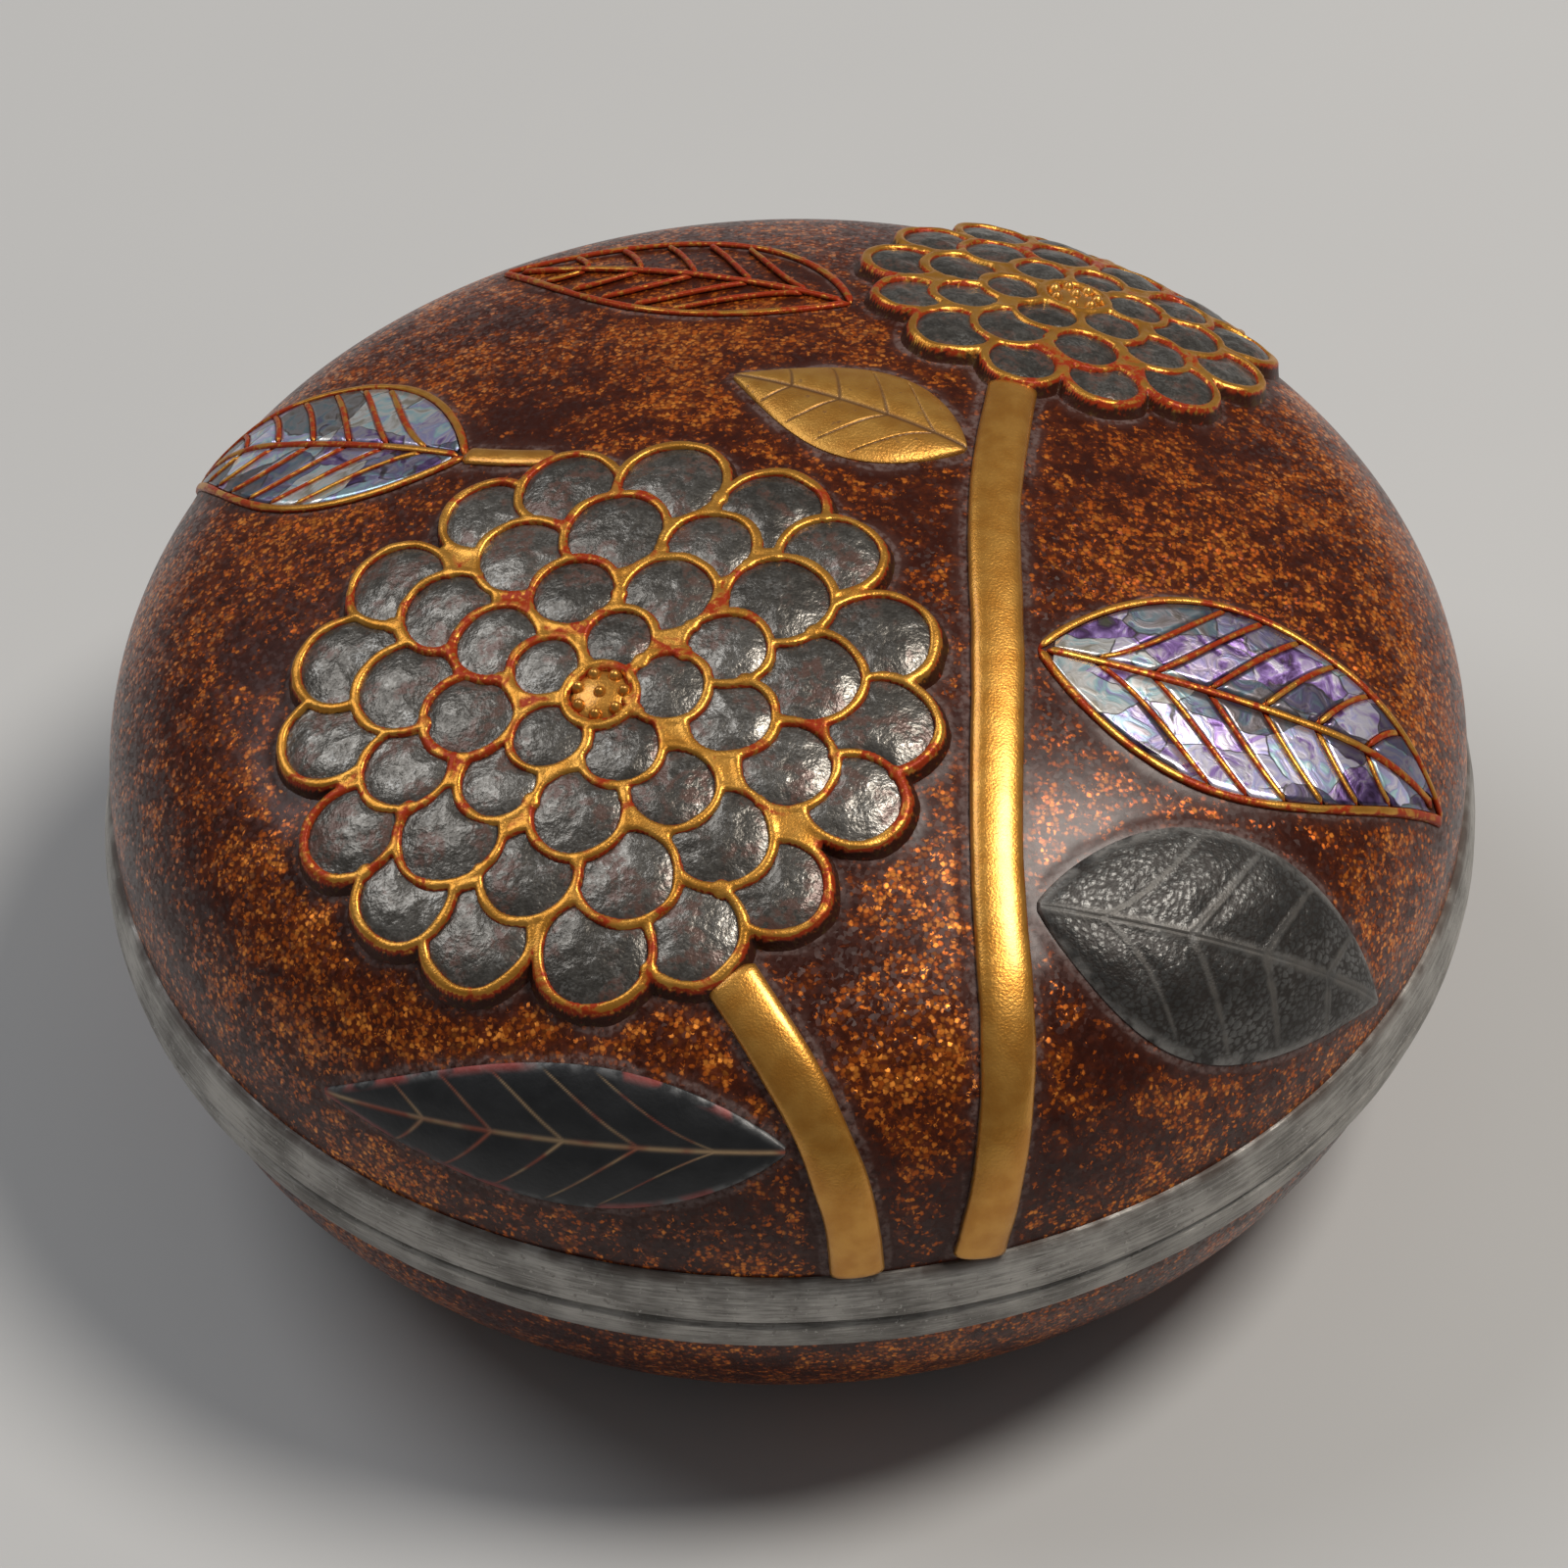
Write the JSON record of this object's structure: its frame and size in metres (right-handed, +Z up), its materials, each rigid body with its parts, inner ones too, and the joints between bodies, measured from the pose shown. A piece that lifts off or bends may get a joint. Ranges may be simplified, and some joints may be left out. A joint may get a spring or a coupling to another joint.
{
  "type": "lacquer incense box",
  "caption": "Round lacquered incense box with a domed lift-off lid, metal rims at the seam, a standing lip and a raised flower spray of metal, shell and gold on the lid.",
  "frame": {"origin": "middle of the flat foot, on the surface that the box stands on", "axes": "+Z up the axis that the box is turned on, -Y to the front of the spray, +X to its right"},
  "size_m": [0.076, 0.076, 0.0404],
  "materials": {
    "lacquer": "glossy red-brown lacquer over wood, sprinkled with fine gold flakes",
    "lip_lacquer": "satin black-brown lacquer",
    "rim_metal": "dull grey lead with fine scratches",
    "lead": "hammered grey lead sheet with brown wear",
    "dark_lead": "smooth dark lead sheet",
    "gold": "worn sprinkled gold",
    "shell": "iridescent mother-of-pearl"
  },
  "bodies": {
    "body": {"body_shell": "lacquer", "body_rim": "rim_metal", "standing_lip": "lip_lacquer"},
    "lid": {"lid_shell": "lacquer", "lid_rim": "rim_metal", "main_bloom_core_petals": "lead", "main_bloom_inner_petals": "lead", "main_bloom_middle_petals": "lead", "main_bloom_outer_petals": "lead", "main_bloom_outline": "gold", "main_bloom_heart": "gold", "back_bloom_inner_petals": "lead", "back_bloom_middle_petals": "lead", "back_bloom_outer_petals": "lead", "back_bloom_outline": "gold", "back_bloom_heart": "gold", "right_shell_leaf": "shell", "right_shell_leaf_veins": "gold", "left_shell_leaf": "shell", "left_shell_leaf_veins": "gold", "back_leaf_veins": "gold", "lead_leaf": "lead", "dark_leaf": "dark_lead", "gold_leaf": "gold", "main_stem": "gold", "branch_stem": "gold", "leaf_stalk": "gold"}
  },
  "joints": [
    {"name": "lid_lift", "type": "slide", "parent": "body", "child": "lid", "axis": [0, 0, 1], "range_m": [0, 0.04]}
  ]
}
